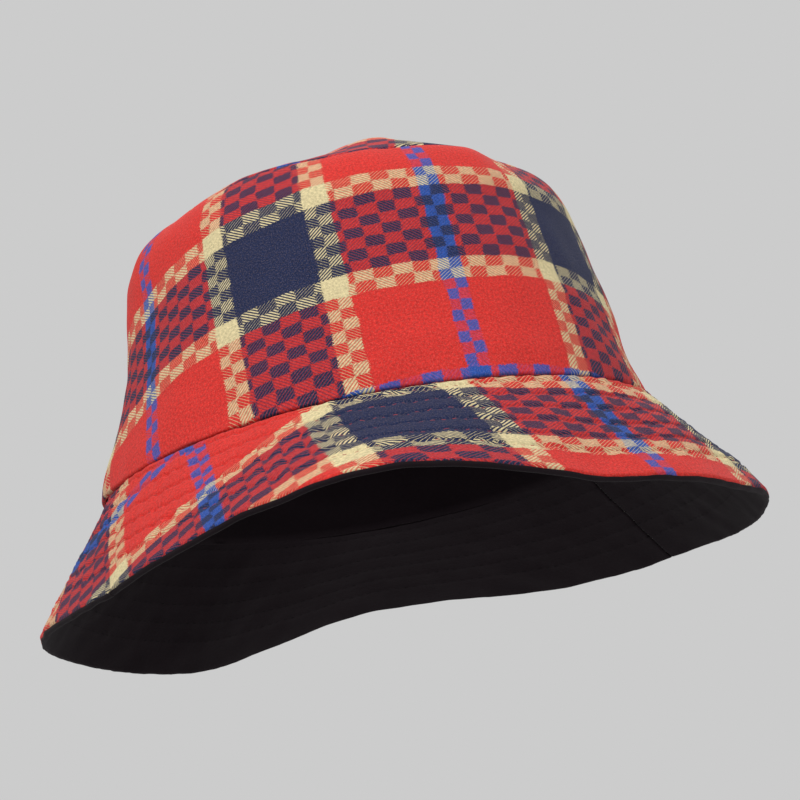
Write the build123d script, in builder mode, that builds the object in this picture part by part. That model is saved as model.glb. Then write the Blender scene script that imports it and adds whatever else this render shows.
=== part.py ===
from build123d import *
from math import asin, cos, degrees, pi, radians, sin, sqrt
import os

# Bucket hat in millimetres: a soft tapered crown with a domed tip and a sloping, wavy brim.
# The origin is the middle of the head opening, +Z is up and -Y is the front.
# Angles around the hat are in degrees from the front: 90 is the right side seen from the front.

# Head opening
HEAD_GIRTH = 590.0           # inside, on the lining, at the crown seam
OVAL = 0.015                 # the opening is this much longer, and narrower, than round

# Cloth layers, counted inwards from the outside of the plaid
OUTER_CLOTH = 1.2
INTERLINING = 0.6
LINING = 0.7
LAYER_GAP = 0.2
SEAM_GAP = 0.6               # between two panels that are sewn edge to edge

# Crown
CROWN_TAPER = 13.7           # lean of the side panels towards the axis, degrees
CROWN_STRAIGHT = 72.0        # straight part of the side panels, up the cloth
SHOULDER_RADIUS = 28.0
SHOULDER_TURN = 42.0         # further lean that the shoulder adds, degrees
TIP_RISE = 20.8              # apex above the tip seam
TIP_CLEARANCE = 1.2          # tip panel's edge, in from the side panels' top edge

# Brim
BRIM_WIDTH = 50.0
BRIM_DROOP = 47.6            # mean slope below the horizontal, degrees
BRIM_WAVES = (               # added slope: cosine and sine of one wave round the hat, then of two, ...
    (5.6, -2.8),
    (-8.1, 2.5),
    (0.7, -0.3),
    (-5.1, 0.2),
    (0.2, 2.0),
    (-1.4, -1.5),
)
EDGE_LIP = 0.9               # lining rolled over the brim's edge
SEAM_ALLOWANCE = 2.4         # from the brim's edge to the stiffening inside it
LINING_SEAM = 132.0          # where the lining of the brim is joined, turned from the outer seams

# Stitching
THREAD_WIDTH = 0.6
THREAD_HEIGHT = 0.25
THREAD_LIFT = 0.1            # clearance between a stitched thread and the cloth under it
FIRST_ROW = 3.0
ROW_PITCH = 7.0
ROW_COUNT = 6

SECTION_STEP = 10.0          # between the sections that a panel is lofted through, degrees

# Depths of the layers, from the outside of the plaid
OUTER = (0.0, OUTER_CLOTH)
CORE = (OUTER[1] + LAYER_GAP, OUTER[1] + LAYER_GAP + INTERLINING)
BRIM_LINING = (CORE[1] + LAYER_GAP, CORE[1] + LAYER_GAP + LINING)
CROWN_LINING = (OUTER[1] + LAYER_GAP, OUTER[1] + LAYER_GAP + LINING)

MEAN_RADIUS = HEAD_GIRTH / (2 * pi) + CROWN_LINING[1]
CROWN_LENGTH = CROWN_STRAIGHT + SHOULDER_RADIUS * radians(SHOULDER_TURN)
SEAM_ANGLE = degrees(SEAM_GAP / 2 / MEAN_RADIUS)


def opening_radius(angle):
    """Outside of the plaid at the head opening, an oval that is longest from front to back."""
    width = MEAN_RADIUS * (1 - OVAL)
    length = MEAN_RADIUS * (1 + OVAL)
    return width * length / sqrt((length * sin(radians(angle))) ** 2 + (width * cos(radians(angle))) ** 2)


def brim_slope(angle):
    """Slope of the brim below the horizontal, in radians: a mean and waves round the hat."""
    slope = BRIM_DROOP
    for count, (cosine, sine) in enumerate(BRIM_WAVES, start=1):
        slope += cosine * cos(radians(count * angle)) + sine * sin(radians(count * angle))
    return radians(slope)


def meridian(angle):
    """Upright plane through the axis: local x points out from the axis and local y points up."""
    out = (sin(radians(angle)), -cos(radians(angle)), 0)
    return Plane(origin=(0, 0, 0), x_dir=out, z_dir=(out[1], -out[0], 0))


def brim_point(angle, along, depth):
    """Point at a distance down the brim from the head opening, and a depth under its surface."""
    slope = brim_slope(angle)
    out = opening_radius(angle) + along * cos(slope) - depth * sin(slope)
    return (out, -along * sin(slope) - depth * cos(slope))


def crown_point(angle, along, depth):
    """Point at a distance up the side panel from the head opening, and a depth under its surface."""
    straight = min(along, CROWN_STRAIGHT)
    taper = radians(CROWN_TAPER)
    turn = taper + (along - straight) / SHOULDER_RADIUS
    out = opening_radius(angle) - straight * sin(taper) - SHOULDER_RADIUS * cos(taper)
    up = straight * cos(taper) - SHOULDER_RADIUS * sin(taper)
    out += (SHOULDER_RADIUS - depth) * cos(turn)
    up += (SHOULDER_RADIUS - depth) * sin(turn)
    return (out, up)


def strip(point, start, end, layer):
    """Outline of a flat strip that lies along the brim or the crown, from start to end on the cloth."""
    def outline(angle):
        corners = [(start, layer[0]), (end, layer[0]), (end, layer[1]), (start, layer[1])]
        Polyline(*[point(angle, along, depth) for along, depth in corners], close=True)
    return outline


def brim_lining_outline(angle):
    """Under-brim lining whose edge is rolled up over the edge of the layers above it."""
    top, under = BRIM_LINING
    inner = BRIM_WIDTH + LAYER_GAP
    edge = inner + EDGE_LIP
    start = SEAM_GAP / 2
    corners = [(start, top), (inner, top), (inner, 0), (edge, 0), (edge, under), (start, under)]
    Polyline(*[brim_point(angle, along, depth) for along, depth in corners], close=True)


def crown_strip(start, end, layer):
    """Outline of a side panel layer: straight up the taper, then round the shoulder."""
    bend = CROWN_STRAIGHT
    middle = (bend + end) / 2

    def outline(angle):
        outside, inside = [
            [crown_point(angle, along, depth) for along in (start, bend, middle, end)] for depth in layer
        ]
        Line(outside[0], outside[1])
        ThreePointArc(*outside[1:])
        Line(outside[3], inside[3])
        ThreePointArc(*reversed(inside[1:]))
        Line(inside[1], inside[0])
        Line(inside[0], outside[0])
    return outline


def middle_layer(layer):
    """Depths of a thread in the middle of a layer of cloth."""
    spare = (layer[1] - layer[0] - THREAD_HEIGHT) / 2
    return (layer[0] + spare, layer[1] - spare)


def thread_ring(point, along, layer):
    """Outline of a flattened thread that runs round the hat, centred at a distance along the cloth."""
    return strip(point, along - THREAD_WIDTH / 2, along + THREAD_WIDTH / 2, layer)


def panel(start, end, outline):
    """Solid lofted through an outline that is drawn on each meridian from start to end."""
    steps = max(1, round((end - start) / SECTION_STEP))
    with BuildPart() as piece:
        for step in range(steps + 1):
            with BuildSketch(meridian(start + (end - start) * step / steps)):
                with BuildLine():
                    outline(start + (end - start) * step / steps)
                make_face()
        loft()
    return piece.part


def half_ring(middle, outline):
    """Half of a ring of cloth, which stops short of the seam at each end."""
    return panel(middle - 90 + SEAM_ANGLE, middle + 90 - SEAM_ANGLE, outline)


def tip_panel(layer):
    """Domed tip of the crown, a slice of a large sphere drawn out to the oval of the opening."""
    seam_out, seam_up = crown_point(45, CROWN_LENGTH, 0)
    sphere = (seam_out**2 + TIP_RISE**2) / (2 * TIP_RISE)
    centre = seam_up + TIP_RISE - sphere
    rim = asin((seam_out - TIP_CLEARANCE) / sphere)

    def arc_points(depth):
        tilts = (0, rim / 2, rim)
        return [((sphere - depth) * sin(tilt), centre + (sphere - depth) * cos(tilt)) for tilt in tilts]

    outside, inside = [arc_points(depth) for depth in layer]
    with BuildPart() as tip:
        with BuildSketch(Plane.XZ):
            with BuildLine():
                ThreePointArc(*outside)
                Line(outside[2], inside[2])
                ThreePointArc(*reversed(inside))
                Line(inside[0], outside[0])
            make_face()
        revolve(axis=Axis.Z)
        scale(by=(1 - OVAL, 1 + OVAL, 1))
    return tip.part


def both_halves(outline, turn=0):
    """The two halves of a ring, for a thread that runs all the way round."""
    return half_ring(turn, outline), half_ring(turn + 180, outline)


def upright_thread(middle, outline):
    """Thread of an upright seam, a thin strip that stands in the gap between two panels."""
    half_width = degrees(THREAD_HEIGHT / 2 / MEAN_RADIUS)
    return panel(middle - half_width, middle + half_width, outline)


def save(label, *solids):
    """Write one named piece; the runs of one thread share a piece as separate solids."""
    piece = solids[0] if len(solids) == 1 else Compound(children=list(solids))
    piece.label = label
    export_step(piece, f"parts/{label}.step")


os.makedirs("parts", exist_ok=True)
PANEL_START = SEAM_GAP / 2
FRONT, RIGHT, BACK, LEFT = 0, 90, 180, 270

# Plaid outer hat: two side panels, a tip and two brim halves, with seams at the right and left
crown_outer = crown_strip(PANEL_START, CROWN_LENGTH, OUTER)
brim_outer = strip(brim_point, PANEL_START, BRIM_WIDTH, OUTER)
save("crown_side_front", half_ring(FRONT, crown_outer))
save("crown_side_back", half_ring(BACK, crown_outer))
save("crown_tip", tip_panel(OUTER))
save("brim_front", half_ring(FRONT, brim_outer))
save("brim_back", half_ring(BACK, brim_outer))

# Stiffening inside the brim
brim_core = strip(brim_point, PANEL_START, BRIM_WIDTH - SEAM_ALLOWANCE, CORE)
save("brim_interlining_front", half_ring(FRONT, brim_core))
save("brim_interlining_back", half_ring(BACK, brim_core))

# Black lining, whose brim halves are joined away from the seams of the plaid
crown_inner = crown_strip(PANEL_START, CROWN_LENGTH, CROWN_LINING)
save("crown_lining_front", half_ring(FRONT, crown_inner))
save("crown_lining_back", half_ring(BACK, crown_inner))
save("crown_lining_tip", tip_panel(CROWN_LINING))
save("brim_lining_right", half_ring(LINING_SEAM - 90, brim_lining_outline))
save("brim_lining_left", half_ring(LINING_SEAM + 90, brim_lining_outline))

# Threads of the upright seams
crown_thread = crown_strip(PANEL_START, CROWN_LENGTH, middle_layer(OUTER))
brim_thread = strip(brim_point, PANEL_START, BRIM_WIDTH, middle_layer(OUTER))
crown_lining_thread = crown_strip(PANEL_START, CROWN_LENGTH, middle_layer(CROWN_LINING))
brim_lining_thread = strip(brim_point, PANEL_START, BRIM_WIDTH, middle_layer(BRIM_LINING))
save("crown_seam_thread_right", upright_thread(RIGHT, crown_thread))
save("crown_seam_thread_left", upright_thread(LEFT, crown_thread))
save("brim_seam_thread_right", upright_thread(RIGHT, brim_thread))
save("brim_seam_thread_left", upright_thread(LEFT, brim_thread))
save("crown_lining_seam_thread_right", upright_thread(RIGHT, crown_lining_thread))
save("crown_lining_seam_thread_left", upright_thread(LEFT, crown_lining_thread))
save("brim_lining_seam_thread_right", upright_thread(LINING_SEAM, brim_lining_thread))
save("brim_lining_seam_thread_left", upright_thread(LINING_SEAM + 180, brim_lining_thread))

# Threads of the seams that run round the hat
tip_seam = CROWN_LENGTH + THREAD_WIDTH
outer_middle = middle_layer(OUTER)
lining_middle = middle_layer(CROWN_LINING)
edge_thread = thread_ring(brim_point, BRIM_WIDTH - SEAM_ALLOWANCE / 2, middle_layer(CORE))
save("tip_seam_thread", *both_halves(thread_ring(crown_point, tip_seam, outer_middle)))
save("tip_lining_seam_thread", *both_halves(thread_ring(crown_point, tip_seam, lining_middle)))
save("head_seam_thread", *both_halves(thread_ring(crown_point, 0, outer_middle)))
save("head_lining_seam_thread", *both_halves(thread_ring(crown_point, 0, lining_middle)))
save("brim_edge_seam_thread", *both_halves(edge_thread))

# Rows of lockstitch round the brim: a needle thread on the plaid and a bobbin thread on the lining
needle_layer = (-THREAD_LIFT - THREAD_HEIGHT, -THREAD_LIFT)
bobbin_layer = (BRIM_LINING[1] + THREAD_LIFT, BRIM_LINING[1] + THREAD_LIFT + THREAD_HEIGHT)
for row in range(ROW_COUNT):
    place = FIRST_ROW + row * ROW_PITCH
    needle = both_halves(thread_ring(brim_point, place, needle_layer))
    bobbin = both_halves(thread_ring(brim_point, place, bobbin_layer), LINING_SEAM - 90)
    save(f"brim_topstitch_row_{row + 1}", *needle, *bobbin)
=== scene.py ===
"""Bucket hat of plaid flannel with a black lining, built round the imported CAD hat.

Lengths are in millimetres and angles in degrees until a mesh is made. Angle 0 is the front of the hat, and 90
its right side seen from the front. On the brim, along is the distance from the head seam outwards; on the
crown, it is the distance upwards. Depth is measured inwards from the outside of the plaid.
"""
import math

import bmesh
import bpy
import numpy as np
from mathutils import Matrix, Vector
from mathutils.bvhtree import BVHTree


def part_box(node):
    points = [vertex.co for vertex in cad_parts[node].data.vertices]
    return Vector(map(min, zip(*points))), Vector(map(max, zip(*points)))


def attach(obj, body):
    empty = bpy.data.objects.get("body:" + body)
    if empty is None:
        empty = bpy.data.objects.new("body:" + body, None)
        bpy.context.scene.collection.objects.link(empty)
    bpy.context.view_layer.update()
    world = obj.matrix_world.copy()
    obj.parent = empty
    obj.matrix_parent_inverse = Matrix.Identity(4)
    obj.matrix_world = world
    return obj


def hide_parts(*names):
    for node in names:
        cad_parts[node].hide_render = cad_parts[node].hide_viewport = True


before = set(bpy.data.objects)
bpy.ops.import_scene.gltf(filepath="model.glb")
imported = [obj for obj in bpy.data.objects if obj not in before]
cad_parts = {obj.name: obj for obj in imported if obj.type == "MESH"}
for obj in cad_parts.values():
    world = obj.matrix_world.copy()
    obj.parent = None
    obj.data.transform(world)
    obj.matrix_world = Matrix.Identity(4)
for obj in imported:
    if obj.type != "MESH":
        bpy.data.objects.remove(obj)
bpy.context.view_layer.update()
MM = 0.001

# Cloth layers, as deep as the CAD hat's
PLAID = (0.0, 1.2)
CORE = (1.4, 2.0)
BRIM_LINING = (2.2, 2.9)
CROWN_LINING = (1.9, 2.6)
LINING_START = -1.9          # the crown's lining runs down to the under-brim lining that it is sewn to
EDGE_ROLL = 1.1              # radius to which a sewn edge turns in
SEAM_HALF = 0.25             # half the gap between two sewn edges
EDGE_GAP = 0.2               # from a seam that runs round the hat to the edge of the panel sewn there
SEAM_ALLOWANCE = 2.4         # from the brim's edge to the stiffening inside it
LIP_RADIUS = 0.8             # roll of the under-brim lining over the brim's edge

# Visible shaping that the plain CAD cloth does not have
CROWN_LEAN = 0.04            # how far the soft crown leans to the right, per millimetre of height
# Each fold: angle, distance up the cloth, width in degrees, height, and how far it stands out
CROWN_FOLDS = (
    (-58, 45, 9, 30, -1.0), (-70, 82, 18, 17, 2.0), (-84, 44, 15, 17, -2.4), (-80, 8, 15, 12, 2.6),
    (84, 15, 15, 14, -2.7), (57, 92, 11, 15, -2.5), (-17, 95, 20, 9, 2.2), (32, 94, 17, 9, 1.5),
    (-14, 124, 22, 22, -2.8), (44, 111, 15, 13, -2.0), (17, 112, 12, 14, 1.6),
)
# The same for the brim, with distances outwards
BRIM_FOLDS = (
    (-50, 52, 9, 18, -1.4), (24, 52, 11, 20, -1.6), (67, 56, 10, 16, -3.6),
)
TIP_SEAM_RISE = 2.5          # how much further up the cloth the soft tip seam lies
LINING_SEAM = 132.0          # angle of one lining seam of the brim; the other is opposite

# Stitching
FIRST_ROW = 3.0
ROW_PITCH = 7.0
ROW_COUNT = 6
STITCH_PITCH = 3.4
STITCH_LENGTH = 2.7
THREAD_RADIUS = 0.17
SEAM_PITCH = 2.6             # stitches of the seams that hold the panels together
SEAM_THREAD_RADIUS = 0.2
PLAID_SEAM_DEPTH = 1.0
LINING_SEAM_DEPTH = 2.3
GROOVE_DEPTH = 0.6           # how far a row of stitches draws the plaid in
GROOVE_WIDTH = 0.75
PUCKER = 0.26                # height of the puckers along a row

# Plaid weave
BLOCK_WIDTH = 6.45           # one block of the checks, across the warp
BLOCK_HEIGHT = 3.91          # and along it
WARP_STRIPES = 6             # blocks from one accent stripe of the warp to the next
TWILL_PITCH = 1.5            # from one twill line to the next, across the warp
TWILL_SLOPE = 36.0           # of the twill lines, from the weft

# Cloth of the brim's front: at each angle, where the weft lies at the head seam, how much it is eased
# outwards, and how far the warp drifts round the hat for each millimetre outwards
BRIM_CLOTH = (
    (-90, 76, 1.08, 0.45), (-60, 61, 1.0, 0.58), (-45, 47.4, 1.0, 0.58), (-37, 40.5, 1.0, 0.56),
    (-30, 34.9, 1.0, 0.5), (-24, 28.4, 0.98, 0.43), (-17, 18.3, 0.95, 0.34), (-10, 9.3, 0.92, 0.28),
    (-3, 6.4, 0.95, 0.27), (6, 5.4, 0.97, 0.27), (15, 5.4, 0.99, 0.27), (25, 7.4, 1.06, 0.22),
    (40, 8.3, 1.09, 0.12), (55, 10, 1.11, 0.06), (75, 14, 1.12, 0.0), (90, 24, 1.15, 0.0),
)


# ---------------------------------------------------------------- the CAD hat's surfaces

def surface_tree(*nodes):
    """The named CAD nodes as one surface for rays, in millimetres."""
    points, faces = [], []
    for name in nodes:
        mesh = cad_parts[name].data
        first = len(points)
        points += [vertex.co / MM for vertex in mesh.vertices]
        faces += [[first + index for index in face.vertices] for face in mesh.polygons]
    return BVHTree.FromPolygons(points, faces)


SIDE_TREE = surface_tree("crown_side_front", "crown_side_back")
TIP_TREE = surface_tree("crown_tip")
BRIM_TREE = surface_tree("brim_front", "brim_back")
FAR = 400.0
SAMPLE_ANGLES = np.arange(2.5, 360, 5)     # these miss the upright seams
DOWN = Vector((0, 0, -1))


def spoke(angle):
    """Level unit vector that points outwards at an angle."""
    return Vector((math.sin(math.radians(angle)), -math.cos(math.radians(angle)), 0))


def side_radius(angle, height):
    """Radius of the CAD side panels at a height."""
    hit = SIDE_TREE.ray_cast(spoke(angle) * FAR + Vector((0, 0, height)), -spoke(angle))[0]
    return hit.xy.length


def height_on(tree, angle, radius):
    """Height of a surface straight over or under a point at that radius."""
    return tree.ray_cast(spoke(angle) * radius + Vector((0, 0, FAR)), DOWN)[0].z


def wave_fit(values, count):
    """Smooth function of the angle, fitted to values at SAMPLE_ANGLES with up to count waves."""
    def terms(angles):
        turns = np.radians(np.asarray(angles, float))[..., None] * np.arange(1, count + 1)
        return np.concatenate([np.ones(turns.shape[:-1] + (1,)), np.cos(turns), np.sin(turns)], -1)
    weights = np.linalg.lstsq(terms(SAMPLE_ANGLES), np.array(values), rcond=None)[0]
    return lambda angles: terms(angles) @ weights


def measure_opening():
    """Radius of the head opening, from the straight lower part of the side panels."""
    low, high = 5.0, 40.0
    radii = []
    for angle in SAMPLE_ANGLES:
        near, upper = side_radius(angle, low), side_radius(angle, high)
        radii.append(near + (near - upper) * low / (high - low))
    return wave_fit(radii, 4)


def measure_slope():
    """Slope of the brim below the horizontal, in radians."""
    near, outer = 8.0, 22.0
    slopes = []
    for angle in SAMPLE_ANGLES:
        radius = float(opening(angle))
        drop = height_on(BRIM_TREE, angle, radius + near) - height_on(BRIM_TREE, angle, radius + outer)
        slopes.append(math.atan2(drop, outer - near))
    return wave_fit(slopes, 8)


def measure_profile():
    """The crown's outline over the head seam, as radius, height and distance up the cloth, up to the apex."""
    diagonal = 45.0                        # where the oval opening has its mean radius
    side_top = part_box("crown_side_front")[1].z / MM
    points = [(float(opening(diagonal)), 0.0)]
    points += [(side_radius(diagonal, z), z) for z in np.linspace(2, side_top - 0.15, 48)]
    side_count = len(points)
    below = np.array(points[0]) * 2 - points[1]
    rim = points[-1][0] - 1.6
    points += [(r, height_on(TIP_TREE, diagonal, r)) for r in np.linspace(rim, 0.5, 36)]
    points.append((0.0, points[-1][1]))
    radius, height = np.array(points).T
    along = np.concatenate([[0], np.cumsum(np.hypot(np.diff(radius), np.diff(height)))])
    drop = np.hypot(*(below - (radius[0], height[0])))
    profile = [np.concatenate([[first], rest]) for first, rest in
               ((below[0], radius), (below[1], height), (-drop, along))]
    return *profile, along[side_count - 1]


opening = measure_opening()
slope = measure_slope()
PROFILE_RADIUS, PROFILE_HEIGHT, PROFILE_ALONG, CROWN_SIDE = measure_profile()
CROWN_APEX = PROFILE_ALONG[-1]
TIP_SEAM = CROWN_SIDE + TIP_SEAM_RISE
MEAN_RADIUS = float(np.mean(opening(SAMPLE_ANGLES)))


def measure_width():
    """Width of the brim, from the farthest point of its plaid along its slope."""
    points = np.array([vertex.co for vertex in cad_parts["brim_front"].data.vertices]) / MM
    angles = np.degrees(np.arctan2(points[:, 0], -points[:, 1]))
    reach = np.hypot(points[:, 0], points[:, 1]) - opening(angles)
    return float(np.max(reach * np.cos(slope(angles)) - points[:, 2] * np.sin(slope(angles))))


BRIM_WIDTH = measure_width()


# ---------------------------------------------------------------- the soft shape

def lumps(points, seed, size, height):
    """Soft unevenness of cloth at points: waves about size long in random directions."""
    random = np.random.RandomState(seed)
    total = np.zeros(points.shape[:-1])
    count = 10
    for _ in range(count):
        direction = random.normal(size=3)
        direction *= 2 * math.pi / (size * random.uniform(0.7, 1.5)) / np.linalg.norm(direction)
        total += np.sin(points @ direction + random.uniform(0, 2 * math.pi))
    return total * height / math.sqrt(count / 2)


def ripples(angle, seed, shortest, longest):
    """Uneven waves round the hat, from -1 to 1 or so, with crests that far apart on the head seam."""
    random = np.random.RandomState(seed)
    girth = 2 * math.pi * MEAN_RADIUS
    total = np.zeros(np.shape(angle))
    count = 8
    for _ in range(count):
        turns = round(girth / random.uniform(shortest, longest))
        total = total + np.sin(turns * np.radians(angle) + random.uniform(0, 2 * math.pi))
    return total / math.sqrt(count / 2)


def bump_at(value, centre, width):
    """Smooth bump of height 1."""
    return np.exp(-(((value - centre) / width) ** 2))


def turned(angle, centre):
    """Angle from centre, from -180 to 180."""
    return (np.asarray(angle, float) - centre + 180) % 360 - 180


def brim_base(angle, along, depth):
    """Points of the brim's layers before any relief."""
    tilt = slope(angle)
    radius = opening(angle) + along * np.cos(tilt) - depth * np.sin(tilt)
    height = -along * np.sin(tilt) - depth * np.cos(tilt)
    turn = np.radians(angle)
    return np.stack([radius * np.sin(turn), -radius * np.cos(turn), height], -1)


def brim_relief(angle, along):
    """How far the brim's layers stand out of their plain cones: sewn channels, puckers and soft waves."""
    relief = np.zeros(np.shape(angle))
    for row in range(ROW_COUNT):
        place = FIRST_ROW + row * ROW_PITCH
        relief = relief - GROOVE_DEPTH * bump_at(along, place, GROOVE_WIDTH)
        relief = relief + PUCKER * ripples(angle, 40 + row, 4.5, 9) * bump_at(along, place, 2.6)
    return relief


def folds(rows, angle, along):
    """Sum of soft bumps and dents, one for each row."""
    relief = np.zeros(np.shape(angle))
    for fold_angle, fold_along, wide, tall, height in rows:
        round_hat = bump_at(turned(angle, fold_angle), 0, wide)
        relief = relief + height * round_hat * bump_at(along, fold_along, tall)
    return relief


def brim_wave(angle, along):
    """Soft unevenness that all the brim's layers share."""
    points = brim_base(angle, along, 0)
    wave = lumps(points, 3, 34, 0.25) * np.clip(along / 12, 0, 1) + lumps(points, 4, 11, 0.1)
    return wave + folds(BRIM_FOLDS, angle, along)


def stitched(share):
    """Place for points of a layer of the brim, which the stitching draws in by a share of the relief."""
    def place(angle, along, depth):
        return brim_base(angle, along, depth - share * brim_relief(angle, along) - brim_wave(angle, along))
    return place


brim = stitched(1.0)
brim_core = stitched(0.45)
under_brim = stitched(0.25)


def crown_relief(angle, along, points):
    """Soft folds and lumps of the crown."""
    fade = np.clip(along / 10, 0, 1)
    relief = lumps(points, 11, 60, 0.3) * fade + lumps(points, 12, 16, 0.15)
    return relief + folds(CROWN_FOLDS, angle, along)


def crown(angle, along, depth):
    """Points of the crown's layers, side panels and tip alike."""
    angle, along = np.broadcast_arrays(np.asarray(angle, float), np.asarray(along, float))
    radius = np.interp(along, PROFILE_ALONG, PROFILE_RADIUS)
    height = np.interp(along, PROFILE_ALONG, PROFILE_HEIGHT)
    step = 1.5
    ahead, back = np.minimum(along + step, CROWN_APEX), np.maximum(along - step, PROFILE_ALONG[0])
    run = np.interp(ahead, PROFILE_ALONG, PROFILE_RADIUS) - np.interp(back, PROFILE_ALONG, PROFILE_RADIUS)
    rise = np.interp(ahead, PROFILE_ALONG, PROFILE_HEIGHT) - np.interp(back, PROFILE_ALONG, PROFILE_HEIGHT)
    length = np.hypot(run, rise)
    rim = np.interp(CROWN_SIDE, PROFILE_ALONG, PROFILE_RADIUS)
    radius = radius + (opening(angle) - opening(45.0)) * np.minimum(radius / rim, 1)
    turn = np.radians(angle)
    points = np.stack([radius * np.sin(turn), -radius * np.cos(turn), height], -1)
    inwards = depth - crown_relief(angle, along, points)
    radius = radius - inwards * rise / length
    height = height + inwards * run / length
    radius = np.where(along >= CROWN_APEX - 1e-6, 0, radius)
    return np.stack([radius * np.sin(turn) + CROWN_LEAN * height, -radius * np.cos(turn), height], -1)


def roll(distance):
    """Extra depth of a sewn edge that turns in, at a distance from the edge."""
    inside = np.clip(1 - distance / EDGE_ROLL, 0, 1)
    return EDGE_ROLL * (1 - np.sqrt(1 - inside**2 * 0.98))


# ---------------------------------------------------------------- where the cloth was cut

def on_cone(angle, along, centre, curve, upwards):
    """Flat place of a point of a ring of cloth, unrolled round the angle centre; curve is turns per turn."""
    swing = np.radians(turned(angle, centre)) * curve
    flat_radius = MEAN_RADIUS / curve + (-along if upwards else along)
    x = flat_radius * np.sin(swing)
    y = MEAN_RADIUS / curve - flat_radius * np.cos(swing)
    return x, y


def crown_cut(shift_x, shift_y, centre):
    """Cut of a side panel, whose cloth is eased a little into the head seam."""
    curve, ease, ease_length = 0.192, 2.8, 7

    def cut(angle, along):
        x, y = on_cone(angle, along, centre, curve, True)
        return x + shift_x, y + shift_y + ease * np.exp(-along / ease_length)
    return cut


def smooth_between(value, stops, amounts):
    """Amounts at the given stops, joined by smooth curves and read at value."""
    slopes = np.gradient(amounts, stops)
    last = np.clip(np.searchsorted(stops, value), 1, len(stops) - 1)
    first = last - 1
    length = stops[last] - stops[first]
    t = np.clip((value - stops[first]) / length, 0, 1)
    start = amounts[first] * (1 + 2 * t) + slopes[first] * length * t
    end = amounts[last] * (3 - 2 * t) - slopes[last] * length * (1 - t)
    return start * (1 - t) ** 2 + end * t**2


def brim_front_cut(angle, along):
    """The warp drifts round the hat as it runs outwards, and the weft bends, as BRIM_CLOTH says."""
    angle = turned(angle, 0)
    stops, *columns = np.array(BRIM_CLOTH).T
    shift, ease, drift = (smooth_between(angle, stops, column) for column in columns)
    around = np.radians(angle) * MEAN_RADIUS
    stretch, first_stripe = 0.9, 25
    return stretch * (around - first_stripe - drift * along), shift - along * ease


def brim_back_cut(angle, along):
    """The brim's back, cut as a ring."""
    x, y = on_cone(angle, along, 190.0, 0.6, False)
    return x + 20, y - 10


def tip_cut(angle, along):
    """The tip, seen from above."""
    radius = np.interp(along, PROFILE_ALONG, PROFILE_RADIUS)
    turn = np.radians(angle)
    return radius * np.sin(turn) + 53.4, 52 - radius * np.cos(turn)


# ---------------------------------------------------------------- meshes

def places(start, end, step, fine_start=True, fine_end=True):
    """Values from start to end, about a step apart, closer at the edges that turn in."""
    fine = (0.12, 0.3, 0.55, 0.85, 1.25)
    low = [start + step_in for step_in in fine] if fine_start else []
    high = [end - step_in for step_in in reversed(fine)] if fine_end else []
    first = low[-1] if low else start
    last = high[0] if high else end
    count = max(2, round((last - first) / step))
    middle = list(np.linspace(first, last, count + 1)[1:-1])
    return np.array([start] + low + middle + high + [end])


def groove_lines(alongs):
    """The given lines round the brim, with closer ones at each row of stitches."""
    offsets = np.array([-1.5, -1.0, -0.65, -0.3, 0, 0.3, 0.65, 1.0, 1.5])
    clear = 1.8
    rows = FIRST_ROW + np.arange(ROW_COUNT) * ROW_PITCH
    away = np.abs(alongs[:, None] - rows).min(axis=1)
    return np.sort(np.concatenate([alongs[away > clear], (rows[:, None] + offsets).ravel()]))


def make_object(name, points, faces, material, flat=None, weld=False):
    """Object of the hat's one body. flat holds the place of each point on the cut cloth."""
    mesh = bpy.data.meshes.new(name)
    mesh.from_pydata((np.asarray(points) * MM).tolist(), [], faces)
    if flat is not None:
        corners = np.empty(len(mesh.loops), int)
        mesh.loops.foreach_get("vertex_index", corners)
        layer = mesh.uv_layers.new(name="cloth")
        layer.data.foreach_set("uv", np.asarray(flat, np.float32)[corners].ravel())
    if weld:
        work = bmesh.new()
        work.from_mesh(mesh)
        bmesh.ops.remove_doubles(work, verts=work.verts, dist=0.01 * MM)
        work.to_mesh(mesh)
        work.free()
    mesh.shade_smooth()
    mesh.materials.append(material)
    piece = bpy.data.objects.new(name, mesh)
    bpy.context.scene.collection.objects.link(piece)
    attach(piece, "root")
    return piece


def grid_faces(rows, columns, first, flip):
    """Quads of a grid of points that starts at index first."""
    faces = []
    for r in range(rows - 1):
        for c in range(columns - 1):
            a = first + r * columns + c
            quad = (a, a + 1, a + columns + 1, a + columns)
            faces.append(quad[::-1] if flip else quad)
    return faces


def rim_indices(rows, columns):
    """Indices round the border of a grid."""
    top = list(range(columns))
    right = [r * columns + columns - 1 for r in range(1, rows)]
    bottom = [(rows - 1) * columns + c for c in range(columns - 2, -1, -1)]
    left = [r * columns for r in range(rows - 2, 0, -1)]
    return top + right + bottom + left


def sheet_of_cloth(name, place, angles, alongs, layer, cut, material, rolled, weld=False):
    """Closed sheet between the two depths of a layer. rolled gives the extra depth of its turned-in edges."""
    thinnest = 0.05
    grid_angle, grid_along = np.meshgrid(angles, alongs, indexing="ij")
    sink = rolled(grid_angle, grid_along)
    outer = place(grid_angle, grid_along, layer[0] + sink).reshape(-1, 3)
    inner = place(grid_angle, grid_along, np.maximum(layer[1], layer[0] + sink + thinnest)).reshape(-1, 3)
    rows, columns = len(angles), len(alongs)
    count = rows * columns
    faces = grid_faces(rows, columns, 0, False) + grid_faces(rows, columns, count, True)
    rim = rim_indices(rows, columns)
    for a, b in zip(rim, rim[1:] + rim[:1]):
        faces.append((b, a, a + count, b + count))
    x, y = cut(grid_angle, grid_along)
    flat = np.stack([x, y], -1).reshape(-1, 2)
    points = np.concatenate([outer, inner])
    return make_object(name, points, faces, material, np.concatenate([flat, flat]), weld)


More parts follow.
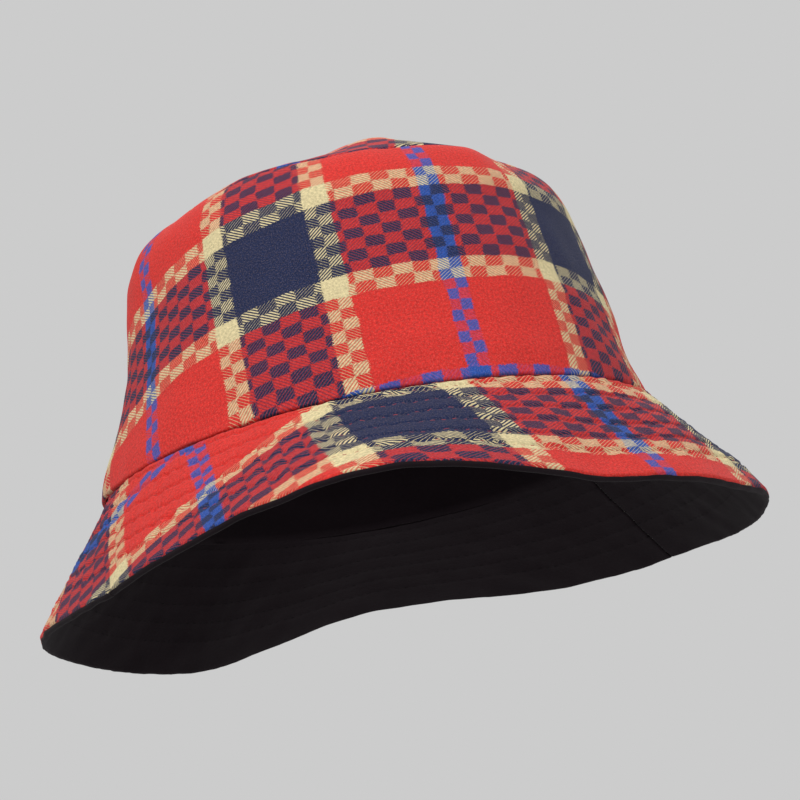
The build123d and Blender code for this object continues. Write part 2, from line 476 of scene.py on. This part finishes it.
def panel_angles(start, end, step):
    """Angles of a panel whose ends are sewn, the step in millimetres at the head seam."""
    scale = math.degrees(1 / MEAN_RADIUS)
    gap = SEAM_HALF * scale
    length = (end - start - 2 * gap) / scale
    return start + gap + places(0, length, step) * scale


def seam_roll(start, end, low=None, high=None):
    """Roll of a panel at its two upright seams and, where given, at its lower and upper edge."""
    def rolled(angle, along):
        scale = math.radians(1) * MEAN_RADIUS
        sink = np.maximum(roll((angle - start) * scale), roll((end - angle) * scale))
        if low is not None:
            sink = np.maximum(sink, roll(along - low))
        if high is not None:
            sink = np.maximum(sink, roll(high - along))
        return sink
    return rolled


def tube(place, angles, alongs, depths, radii, sides, across):
    """Points and faces of a thread on the cloth, which runs up it if across is true, else round the hat."""
    rings = []
    for angle, along, depth, radius in zip(angles, alongs, depths, radii):
        turn = np.linspace(0, 2 * math.pi, sides, endpoint=False)
        side = radius * np.cos(turn)
        sunk = depth - radius * np.sin(turn)
        if across:
            rings.append((angle + np.degrees(side / MEAN_RADIUS), along + 0 * side, sunk))
        else:
            rings.append((angle + 0 * side, along + side, sunk))
    ring_angle, ring_along, ring_depth = [np.array(part) for part in zip(*rings)]
    points = place(ring_angle, ring_along, ring_depth).reshape(-1, 3)
    last_ring = (len(rings) - 1) * sides
    faces = []
    for first in range(0, last_ring, sides):
        for s in range(sides):
            a, b = first + s, first + (s + 1) % sides
            faces.append((a, b, b + sides, a + sides))
    faces.append(tuple(range(sides))[::-1])
    faces.append(tuple(last_ring + s for s in range(sides)))
    return points, faces


def gather(parts):
    """One list of points and faces from several."""
    points, faces, first = [], [], 0
    for part_points, part_faces in parts:
        points.append(part_points)
        faces += [tuple(first + i for i in face) for face in part_faces]
        first += len(part_points)
    return np.concatenate(points), faces


# ---------------------------------------------------------------- materials

class Shader:
    """A Principled material and short ways to build its nodes."""

    def __init__(self, name, **settings):
        self.material = bpy.data.materials.new(name)
        self.material.use_nodes = True
        self.nodes = self.material.node_tree.nodes
        self.links = self.material.node_tree.links
        self.surface = self.nodes["Principled BSDF"]
        for socket, value in settings.items():
            self.surface.inputs[socket.replace("_", " ")].default_value = value

    def feed(self, socket, value):
        if isinstance(value, bpy.types.NodeSocket):
            self.links.new(value, socket)
        else:
            socket.default_value = value

    def math(self, operation, *values):
        node = self.nodes.new("ShaderNodeMath")
        node.operation = operation
        for socket, value in zip(node.inputs, values):
            self.feed(socket, value)
        return node.outputs[0]

    def noise(self, vector, scale, detail=2.0, rough=0.5):
        node = self.nodes.new("ShaderNodeTexNoise")
        self.feed(node.inputs["Vector"], vector)
        node.inputs["Scale"].default_value = scale
        node.inputs["Detail"].default_value = detail
        node.inputs["Roughness"].default_value = rough
        return node.outputs["Fac"]

    def vector(self, x, y, z=0.0):
        node = self.nodes.new("ShaderNodeCombineXYZ")
        for socket, value in zip(node.inputs, (x, y, z)):
            self.feed(socket, value)
        return node.outputs[0]

    def mix(self, factor, first, second, blend="MIX"):
        node = self.nodes.new("ShaderNodeMix")
        node.data_type = "RGBA"
        node.blend_type = blend
        self.feed(node.inputs["Factor"], factor)
        self.feed(node.inputs[6], first)
        self.feed(node.inputs[7], second)
        return node.outputs[2]

    def bands(self, value, stops):
        """Colours in bands of value from 0 to 1; each stop is where its colour starts."""
        node = self.nodes.new("ShaderNodeValToRGB")
        self.feed(node.inputs[0], value)
        ramp = node.color_ramp
        ramp.interpolation = "CONSTANT"
        while len(ramp.elements) < len(stops):
            ramp.elements.new(0.99)
        for element, (start, colour) in zip(ramp.elements, stops):
            element.position = start
            element.color = colour
        return node.outputs[0]

    def brightness(self, value):
        """How light a colour looks, from 0 to 1."""
        node = self.nodes.new("ShaderNodeRGBToBW")
        self.feed(node.inputs[0], value)
        return self.math("SQRT", node.outputs[0])

    def spread(self, value, low, high, new_low=0.0, new_high=1.0):
        """value from low to high, taken smoothly to the new range and held there."""
        node = self.nodes.new("ShaderNodeMapRange")
        node.interpolation_type = "SMOOTHSTEP"
        for socket, number in zip(node.inputs, (value, low, high, new_low, new_high)):
            self.feed(socket, number)
        return node.outputs[0]

    def cloth(self):
        """The cloth's flat coordinates in millimetres: across the warp, and along it."""
        node = self.nodes.new("ShaderNodeUVMap")
        node.uv_map = "cloth"
        split = self.nodes.new("ShaderNodeSeparateXYZ")
        self.links.new(node.outputs[0], split.inputs[0])
        return split.outputs[0], split.outputs[1]

    def place(self):
        """Position on the object in millimetres."""
        node = self.nodes.new("ShaderNodeTexCoord")
        scale = self.nodes.new("ShaderNodeVectorMath")
        scale.operation = "SCALE"
        self.links.new(node.outputs["Object"], scale.inputs[0])
        scale.inputs["Scale"].default_value = 1 / MM
        return scale.outputs[0]

    def bump(self, height, size, strength=1.0):
        node = self.nodes.new("ShaderNodeBump")
        node.inputs["Strength"].default_value = strength
        node.inputs["Distance"].default_value = size * MM
        self.feed(node.inputs["Height"], height)
        self.links.new(node.outputs[0], self.surface.inputs["Normal"])

    def colour(self, value):
        self.feed(self.surface.inputs["Base Color"], value)


def srgb(red, green, blue):
    """Linear colour of an 8-bit one."""
    def linear(value):
        value /= 255
        return value / 12.92 if value <= 0.04045 else ((value + 0.055) / 1.055) ** 2.4
    return (linear(red), linear(green), linear(blue), 1.0)


RED = srgb(215, 51, 45)
NAVY = srgb(30, 42, 75)
CREAM = srgb(222, 207, 160)
BLUE = srgb(42, 86, 172)
# Pale tint of the brushed fuzz: partly fibres of the pale yarns, partly painted sheen of light caught on the
# nap
FUZZ_AND_PAINTED_SHEEN = srgb(222, 190, 182)


def plaid_material():
    """Woven blocks that show warp or weft in turn, with fine twill lines of the other colour, brushed."""
    shader = Shader("plaid_flannel", Roughness=0.95, Sheen_Weight=0.08, Sheen_Roughness=0.45,
                    Specular_IOR_Level=0.1)
    across, along = shader.cloth()
    flat = shader.vector(across, along)
    waver = shader.noise(flat, 0.11)
    fray = shader.noise(flat, 2.1, 3.0, 0.65)

    run = 1 / math.tan(math.radians(TWILL_SLOPE))

    def twill_phase(direction):
        slant = shader.math("MULTIPLY_ADD", along, direction * run, across)
        return shader.math("FRACT", shader.math("DIVIDE", slant, TWILL_PITCH))

    # Edges of the blocks waver, fray and step along the twill
    falling_phase, rising_phase = twill_phase(1), twill_phase(-1)
    stepped = shader.math("MULTIPLY_ADD", falling_phase, 0.4, -0.2)
    drift = shader.math("MULTIPLY_ADD", waver, 2.4, -1.2)
    frayed = shader.math("MULTIPLY_ADD", fray, 3, -1.5)
    shift = shader.math("ADD", shader.math("ADD", drift, frayed), stepped)
    x = shader.math("ADD", across, shift)
    y = shader.math("ADD", along, shader.math("MULTIPLY", shift, 0.6))

    in_column, in_row = shader.math("DIVIDE", x, BLOCK_WIDTH), shader.math("DIVIDE", y, BLOCK_HEIGHT)
    column, row = shader.math("FLOOR", in_column), shader.math("FLOOR", in_row)
    weft_shows = shader.math("FLOORED_MODULO", shader.math("ADD", column, row), 2.0)

    def from_middle(place):
        """From 0 in the middle of a block to 1 at its edges, so that only at corners two add up to over 1."""
        offset = shader.math("MULTIPLY_ADD", shader.math("FRACT", place), 2.0, -1.0)
        return shader.math("POWER", shader.math("ABSOLUTE", offset), 3.0)

    corner = shader.spread(shader.math("ADD", from_middle(in_column), from_middle(in_row)), 1.3, 1.65)

    # Across: cream, red, blue, red, cream and navy stripes of the warp
    stripe = BLOCK_WIDTH * WARP_STRIPES
    period = 3 * stripe
    cream, blue = 4.3, 3.8
    warp = shader.bands(shader.math("DIVIDE", shader.math("FLOORED_MODULO", x, period), period), [
        (0.0, CREAM), (cream / period, RED),
        ((stripe - blue) / period, BLUE), ((stripe + blue) / period, RED),
        ((2 * stripe - cream) / period, CREAM), ((2 * stripe + cream) / period, NAVY),
        ((3 * stripe - cream) / period, CREAM),
    ])
    # Along: cream, red, blue, red, cream and navy rows of the weft
    repeat = 29
    in_repeat = shader.math("ADD", shader.math("FLOORED_MODULO", row, float(repeat)), 0.5)
    weft = shader.bands(shader.math("DIVIDE", in_repeat, float(repeat)), [
        (start / repeat, tint)
        for start, tint in ((0, CREAM), (2, RED), (10, BLUE), (12, RED), (20, CREAM), (22, NAVY))
    ])

    def lines(phase, yarn, ground):
        """How far the yarn shows through the ground.

        It shows in twill lines, which are finer for a pale yarn on a dark ground, at the corners of dark
        blocks, and as a tint where the two are nearly as light, or where the yarn is the darker.
        """
        wave = shader.math("ABSOLUTE", shader.math("MULTIPLY_ADD", phase, 2.0, -1.0))
        broken = shader.math("MULTIPLY_ADD", fray, 0.5, shader.math("ADD", wave, -0.25))
        paler = shader.math("SUBTRACT", shader.brightness(yarn), shader.brightness(ground))
        difference = shader.math("ABSOLUTE", paler)
        start = shader.math("MULTIPLY_ADD", paler, 0.27, 0.62)
        contrast = shader.math("MINIMUM", shader.math("MULTIPLY", difference, 1.7), 1.0)
        line = shader.spread(broken, start, shader.math("ADD", start, 0.14))
        line = shader.math("MULTIPLY", line, contrast)
        tint = shader.math("ADD", shader.spread(difference, 0.15, 0.22, 0.07, 0.0),
                           shader.spread(paler, -0.26, -0.18, 0.2, 0.0))
        tint = shader.math("MULTIPLY", tint, shader.math("SUBTRACT", 1.0, contrast))
        cut_corner = shader.math("MULTIPLY", corner, shader.spread(paler, 0.12, 0.2))
        cut_corner = shader.math("MULTIPLY", cut_corner, shader.spread(difference, 0.3, 0.5, 1.0, 0.0))
        return shader.math("MAXIMUM", shader.math("MINIMUM", shader.math("ADD", line, tint), 1.0), cut_corner)

    in_warp, in_weft = lines(rising_phase, weft, warp), lines(falling_phase, warp, weft)
    colour = shader.mix(weft_shows, shader.mix(in_warp, warp, weft), shader.mix(in_weft, weft, warp))

    nap = shader.noise(flat, 1.1, 5.0, 0.75)
    patch = shader.noise(flat, 0.05, 2.0)
    shade = shader.math("MULTIPLY_ADD", nap, 1.9, -0.03)
    shade = shader.math("ADD", shade, shader.math("MULTIPLY", patch, 0.14))
    shaded = shader.mix(1.0, colour, shader.vector(shade, shade, shade), "MULTIPLY")
    # Pale specks mixed into the colour by noise: brushed fibres, and painted sheen where the nap catches the
    # light
    fuzz_and_sheen_specks = shader.noise(flat, 2.4, 3.0, 0.6)
    shader.colour(shader.mix(shader.spread(fuzz_and_sheen_specks, 0.45, 0.72, 0.0, 0.13), shaded, FUZZ_AND_PAINTED_SHEEN))

    line = shader.math("ADD", shader.math("MULTIPLY", in_warp, shader.math("SUBTRACT", 1.0, weft_shows)),
                       shader.math("MULTIPLY", in_weft, weft_shows))
    height = shader.math("ADD", shader.math("MULTIPLY", line, -0.6), nap)
    shader.bump(height, 0.35, 0.8)
    return shader.material


def lining_material():
    """Black brushed cotton with a fine weave."""
    shader = Shader("black_lining", Roughness=0.9, Sheen_Weight=0.05, Sheen_Roughness=0.5,
                    Specular_IOR_Level=0.15)
    position = shader.place()
    nap = shader.noise(position, 1.1, 5.0, 0.7)
    patch = shader.noise(position, 0.04, 2.0)
    shade = shader.math("ADD", shader.math("MULTIPLY", nap, 0.6), shader.math("MULTIPLY", patch, 0.4))
    shader.colour(shader.mix(shade, srgb(19, 11, 15), srgb(35, 25, 31)))
    shader.bump(nap, 0.25, 0.7)
    return shader.material


def interlining_material():
    """Off-white stiffening canvas."""
    shader = Shader("interlining_canvas", Roughness=0.9)
    position = shader.place()
    weave = shader.noise(position, 1.6, 3.0)
    shader.colour(shader.mix(weave, srgb(188, 184, 172), srgb(222, 218, 206)))
    shader.bump(weave, 0.15, 0.6)
    return shader.material


def thread_material(name, dark, light):
    """Spun thread: its plies show as a mottle of dark and light."""
    shader = Shader(name, Roughness=0.8, Specular_IOR_Level=0.2)
    position = shader.place()
    ply = shader.noise(position, 3.0, 3.0, 0.6)
    shader.colour(shader.mix(ply, dark, light))
    shader.bump(ply, 0.1, 0.6)
    return shader.material


PLAID_CLOTH = plaid_material()
BLACK_CLOTH = lining_material()
CANVAS = interlining_material()
# The red thread's dark end is darker than the thread itself: painted shade of the stitches sunk in their
# grooves
SHADE_DARKENED_RED_THREAD = thread_material("red_thread_darkened_for_shade", srgb(120, 34, 40), srgb(200, 84, 80))
BLACK_THREAD = thread_material("black_thread", srgb(12, 8, 10), srgb(25, 18, 22))


# ---------------------------------------------------------------- cloth panels

def ring_cut_size(inner_arc, outer_arc, width):
    """Flat box and area of a piece of a ring, from its two arcs and its width."""
    swing = abs(outer_arc - inner_arc) / width
    outer = max(inner_arc, outer_arc) / swing
    across = 2 * outer * math.sin(min(swing, math.pi) / 2)
    deep = outer - (outer - width) * math.cos(swing / 2)
    area = (inner_arc + outer_arc) / 2 * width
    return (deep * MM, across * MM), area * MM * MM


def arc_length(place, start, end, along):
    """Length of the line on the cloth at a constant distance from the head seam."""
    count = 181
    points = place(np.linspace(start, end, count), np.full(count, along), np.zeros(count))
    return float(np.linalg.norm(np.diff(points, axis=0), axis=1).sum())


def brim_half_size(start, end):
    """Flat box and area of the brim between two angles."""
    head_arc, edge_arc = (arc_length(brim_base, start, end, along) for along in (0, BRIM_WIDTH))
    return ring_cut_size(head_arc, edge_arc, BRIM_WIDTH)


def flat_edge(angle, along):
    """No roll, for the edges that the plaid hides."""
    return 0 * angle


def crown_panels():
    """Side panels and tip of the crown, in plaid and in lining."""
    fine_step, coarse_step = 1.5, 3
    side_cut = {"front": crown_cut(41.3, -71.9, 23.1), "back": crown_cut(12.0, -60.0, 190.0)}
    for name, start in (("front", -90), ("back", 90)):
        end = start + 180
        angles = panel_angles(start, end, fine_step)
        low, high = EDGE_GAP, TIP_SEAM - EDGE_GAP
        alongs = places(low, high, fine_step)
        flat, area = ring_cut_size(
            arc_length(crown, start, end, 0), arc_length(crown, start, end, TIP_SEAM), TIP_SEAM)
        cloth = sheet_of_cloth(f"crown_side_{name}_cloth", crown, angles, alongs, PLAID, side_cut[name],
                               PLAID_CLOTH, seam_roll(start, end, low, high))
        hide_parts(f"crown_side_{name}")
        angles = panel_angles(start, end, coarse_step)
        alongs = places(LINING_START, high, coarse_step, fine_start=False)
        lining = sheet_of_cloth(f"crown_lining_{name}_cloth", crown, angles, alongs, CROWN_LINING,
                                side_cut[name], BLACK_CLOTH, flat_edge)
        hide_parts(f"crown_lining_{name}")

    low = TIP_SEAM + EDGE_GAP
    nominal_radius = 70
    for name, layer, material, slot, step in (
        ("crown_tip", PLAID, PLAID_CLOTH, "plaid", fine_step),
        ("crown_lining_tip", CROWN_LINING, BLACK_CLOTH, "lining", coarse_step),
    ):
        angles = np.linspace(-180, 180, round(2 * math.pi * nominal_radius / step) + 1)
        alongs = places(low, CROWN_APEX, step, fine_end=False)
        tip = sheet_of_cloth(name + "_cloth", crown, angles, alongs, layer, tip_cut, material,
                             lambda angle, along: roll(along - low), weld=True)
        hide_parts(name)


def brim_panels():
    """Plaid and stiffening of the brim's two halves."""
    plaid_cut = {"front": brim_front_cut, "back": brim_back_cut}
    for name, start in (("front", -90), ("back", 90)):
        end = start + 180
        flat, area = brim_half_size(start, end)
        angles = panel_angles(start, end, 1.3)
        low = EDGE_GAP
        alongs = groove_lines(places(low, BRIM_WIDTH, 1.1))
        cloth = sheet_of_cloth(f"brim_{name}_cloth", brim, angles, alongs, PLAID, plaid_cut[name],
                               PLAID_CLOTH, seam_roll(start, end, low, BRIM_WIDTH))
        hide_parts(f"brim_{name}")
        angles = panel_angles(start, end, 3)
        alongs = places(low, BRIM_WIDTH - SEAM_ALLOWANCE, 2)
        core = sheet_of_cloth(f"brim_interlining_{name}_canvas", brim_core, angles, alongs, CORE,
                              plaid_cut[name], CANVAS, flat_edge)
        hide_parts(f"brim_interlining_{name}")


def lining_path(width):
    """Section of the under-brim lining, as along, depth and turn: across, then rolled up over the edge."""
    middle = (BRIM_LINING[0] + BRIM_LINING[1]) / 2
    centre_depth = middle - LIP_RADIUS
    path = [(along, middle, 0.0) for along in places(EDGE_GAP, width, 1.0, fine_end=False)]
    for turn in np.linspace(0, 185, 13)[1:]:
        swing = math.radians(turn)
        out, down = LIP_RADIUS * math.sin(swing), LIP_RADIUS * math.cos(swing)
        path.append((width + out, centre_depth + down, swing))
    return path


def brim_lining(name, start):
    """Half of the under-brim lining with its rolled lip, as one closed sheet."""
    end = start + 180
    angles = panel_angles(start, end, 1.6)
    path = lining_path(BRIM_WIDTH - 0.5)
    half_thick = (BRIM_LINING[1] - BRIM_LINING[0]) / 2
    columns = len(path)
    outer, inner, flat = [], [], []
    scale = math.radians(1) * MEAN_RADIUS
    tuck = np.maximum(roll((angles - start) * scale), roll((end - angles) * scale)) * 0.8
    run = 0.0
    previous = path[0]
    for along, depth, swing in path:
        run += math.hypot(along - previous[0], depth - previous[1])
        previous = (along, depth)
        wobble = 0.1 * ripples(angles, 71, 3, 12) * math.sin(min(swing, math.pi) / 2)
        out, down = half_thick * math.sin(swing), half_thick * math.cos(swing)
        outer.append(under_brim(angles, along + out + wobble, depth + down - tuck))
        inner.append(under_brim(angles, along - out + wobble, depth - down))
        flat.append(np.stack(brim_back_cut(angles, np.full(len(angles), run)), -1))
    count = len(angles) * columns
    points = np.concatenate([np.array(outer).transpose(1, 0, 2).reshape(-1, 3),
                             np.array(inner).transpose(1, 0, 2).reshape(-1, 3)])
    uv = np.array(flat).transpose(1, 0, 2).reshape(-1, 2)
    faces = grid_faces(len(angles), columns, 0, True) + grid_faces(len(angles), columns, count, False)
    rim = rim_indices(len(angles), columns)
    faces += [(a, b, b + count, a + count) for a, b in zip(rim, rim[1:] + rim[:1])]
    lining = make_object(f"brim_lining_{name}_cloth", points, faces, BLACK_CLOTH, np.concatenate([uv, uv]))
    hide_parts(f"brim_lining_{name}")
    flat_size, area = brim_half_size(start, end)


# ---------------------------------------------------------------- stitching

def stitch_row(name, place, along, depth, pitch, length, radius, material, seed, dive):
    """A row of stitches round the hat. Each one dives into the cloth at its ends; dive is a signed depth."""
    random = np.random.RandomState(seed)
    girth = arc_length(place, 0, 360, along)
    count = round(girth / pitch)
    step = 360 / count
    shares = np.array([-1.0, -0.82, -0.4, 0.4, 0.82, 1.0])
    lifts = np.array([1.0, 0.35, 0.0, 0.0, 0.35, 1.0])
    radii = radius * np.array([0.5, 0.95, 1, 1, 0.95, 0.5])
    parts = []
    for number in range(count):
        middle = (number + random.uniform(-0.06, 0.06)) * step
        half = step * length / pitch / 2 * random.uniform(0.92, 1.05)
        angles = middle + half * shares
        alongs = along + random.uniform(-0.12, 0.12) + random.uniform(-0.08, 0.08) * shares
        parts.append(tube(place, angles, alongs, depth + dive * lifts, radii, 6, False))
    points, faces = gather(parts)
    return make_object(name, points, faces, material)


def topstitching():
    """Rows of lockstitch round the brim: a needle thread on the plaid and a bobbin thread on the lining."""
    surface_gap = 0.1
    for row in range(ROW_COUNT):
        along = FIRST_ROW + row * ROW_PITCH
        needle = stitch_row(f"brim_topstitch_row_{row + 1}_needle_thread", brim, along, surface_gap,
                            STITCH_PITCH, STITCH_LENGTH, THREAD_RADIUS, SHADE_DARKENED_RED_THREAD, 100 + row, 0.5)
        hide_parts(f"brim_topstitch_row_{row + 1}")
        bobbin = stitch_row(f"brim_topstitch_row_{row + 1}_bobbin_thread", under_brim, along,
                            BRIM_LINING[1] - surface_gap, STITCH_PITCH, STITCH_LENGTH, THREAD_RADIUS,
                            BLACK_THREAD, 200 + row, -0.5)
        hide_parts(f"brim_topstitch_row_{row + 1}")


def round_seams():
    """Threads of the seams that run round the hat, deep in their seams."""
    edge = BRIM_WIDTH - SEAM_ALLOWANCE / 2
    for node, place, along, depth, material, slot in (
        ("head_seam_thread", crown, 0.0, PLAID_SEAM_DEPTH, SHADE_DARKENED_RED_THREAD, "seam_thread"),
        ("tip_seam_thread", crown, TIP_SEAM, PLAID_SEAM_DEPTH, SHADE_DARKENED_RED_THREAD, "seam_thread"),
        ("head_lining_seam_thread", crown, 0.0, LINING_SEAM_DEPTH, BLACK_THREAD, "lining_thread"),
        ("tip_lining_seam_thread", crown, TIP_SEAM, LINING_SEAM_DEPTH, BLACK_THREAD, "lining_thread"),
        ("brim_edge_seam_thread", brim, edge, 1.7, BLACK_THREAD, "seam_thread"),
    ):
        piece = stitch_row(node.replace("_thread", "_stitches"), place, along, depth, SEAM_PITCH, 2.3,
                           SEAM_THREAD_RADIUS, material, 300, 0.15)
        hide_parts(node)


def upright_seams():
    """Threads of the seams that run up the crown and across the brim."""
    dips = np.array([0.15, 0, 0, 0.15])
    radii = np.array([0.12, SEAM_THREAD_RADIUS, SEAM_THREAD_RADIUS, 0.12])
    for seam, place, angle, top, depth, material, slot in (
        ("crown", crown, 90, TIP_SEAM, PLAID_SEAM_DEPTH, SHADE_DARKENED_RED_THREAD, "seam_thread"),
        ("brim", brim, 90, BRIM_WIDTH, PLAID_SEAM_DEPTH, SHADE_DARKENED_RED_THREAD, "seam_thread"),
        ("crown_lining", crown, 90, TIP_SEAM, LINING_SEAM_DEPTH, BLACK_THREAD, "lining_thread"),
        ("brim_lining", under_brim, LINING_SEAM, BRIM_WIDTH, 2.4, BLACK_THREAD, "lining_thread"),
    ):
        for side, turn in (("right", 0), ("left", 180)):
            parts = []
            angles = np.full(4, float(angle + turn))
            for number in range(int((top - 1) / SEAM_PITCH)):
                alongs = 0.8 + number * SEAM_PITCH + np.linspace(0, 2.2, 4)
                parts.append(tube(place, angles, alongs, depth + dips, radii, 6, True))
            points, faces = gather(parts)
            piece = make_object(f"{seam}_seam_stitches_{side}", points, faces, material)
            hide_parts(f"{seam}_seam_thread_{side}")


# ---------------------------------------------------------------- camera, stage and light

def camera():
    """Looks up at the front of the hat from a little below it, tilted so that the hat leans to the left."""
    distance = 1.0                     # in metres
    rise, tilt = math.radians(13.07), math.radians(11.02)
    data = bpy.data.cameras.new("camera")
    data.sensor_width = 36.0
    data.lens = 131.96
    data.shift_x = 0.0223
    data.shift_y = 0.0783
    data.clip_start, data.clip_end = 0.05, 100.0
    piece = bpy.data.objects.new("camera", data)
    bpy.context.scene.collection.objects.link(piece)
    back = Vector((0, -math.cos(rise), -math.sin(rise)))
    right = Vector((1, 0, 0))
    up = back.cross(right)
    tilted_right = right * math.cos(tilt) - up * math.sin(tilt)
    tilted_up = right * math.sin(tilt) + up * math.cos(tilt)
    turn = Matrix((tilted_right, tilted_up, back)).transposed()
    piece.matrix_world = Matrix.Translation(back * distance) @ turn.to_4x4()
    bpy.context.scene.camera = piece


def stage():
    """A pale floor well below the hat, which a head would hold up, and an even grey surround."""
    floor_level, half = -1.1, 12.0     # in metres
    mesh = bpy.data.meshes.new("floor")
    mesh.from_pydata([(-half, -half, floor_level), (half, -half, floor_level), (half, half, floor_level),
                      (-half, half, floor_level)], [], [(0, 1, 2, 3)])
    floor = bpy.data.objects.new("floor", mesh)
    bpy.context.scene.collection.objects.link(floor)
    paint = Shader("pale_floor", Roughness=0.9)
    paint.colour(srgb(204, 204, 204))
    mesh.materials.append(paint.material)

    world = bpy.data.worlds.new("surround")
    bpy.context.scene.world = world
    world.use_nodes = True
    nodes, links = world.node_tree.nodes, world.node_tree.links
    background = nodes["Background"]
    seen = nodes.new("ShaderNodeBackground")
    background.inputs["Color"].default_value = (1, 1, 1, 1)
    background.inputs["Strength"].default_value = 0.42
    seen.inputs["Color"].default_value = srgb(204, 204, 204)
    paths = nodes.new("ShaderNodeLightPath")
    choose = nodes.new("ShaderNodeMixShader")
    links.new(paths.outputs["Is Camera Ray"], choose.inputs[0])
    links.new(background.outputs[0], choose.inputs[1])
    links.new(seen.outputs[0], choose.inputs[2])
    links.new(choose.outputs[0], nodes["World Output"].inputs["Surface"])


def area_light(name, place, size, power):
    """A square soft light, at a place in metres, that points at the hat."""
    data = bpy.data.lights.new(name, "AREA")
    data.size = size
    data.energy = power
    light = bpy.data.objects.new(name, data)
    bpy.context.scene.collection.objects.link(light)
    light.location = place
    light.rotation_mode = "QUATERNION"
    light.rotation_quaternion = (Vector((0, 0, 0.04)) - Vector(place)).to_track_quat("-Z", "Y")


camera()
stage()
area_light("key_light", (-0.7, -1.3, 1.5), 1.2, 30)
area_light("fill_light", (1.5, -1.2, 0.6), 1.5, 10)
area_light("back_light", (0.3, 1.6, 1.3), 1.4, 20)
bpy.context.scene.view_settings.view_transform = "Standard"

crown_panels()
brim_panels()
brim_lining("right", LINING_SEAM - 180)
brim_lining("left", LINING_SEAM)
topstitching()
round_seams()
upright_seams()
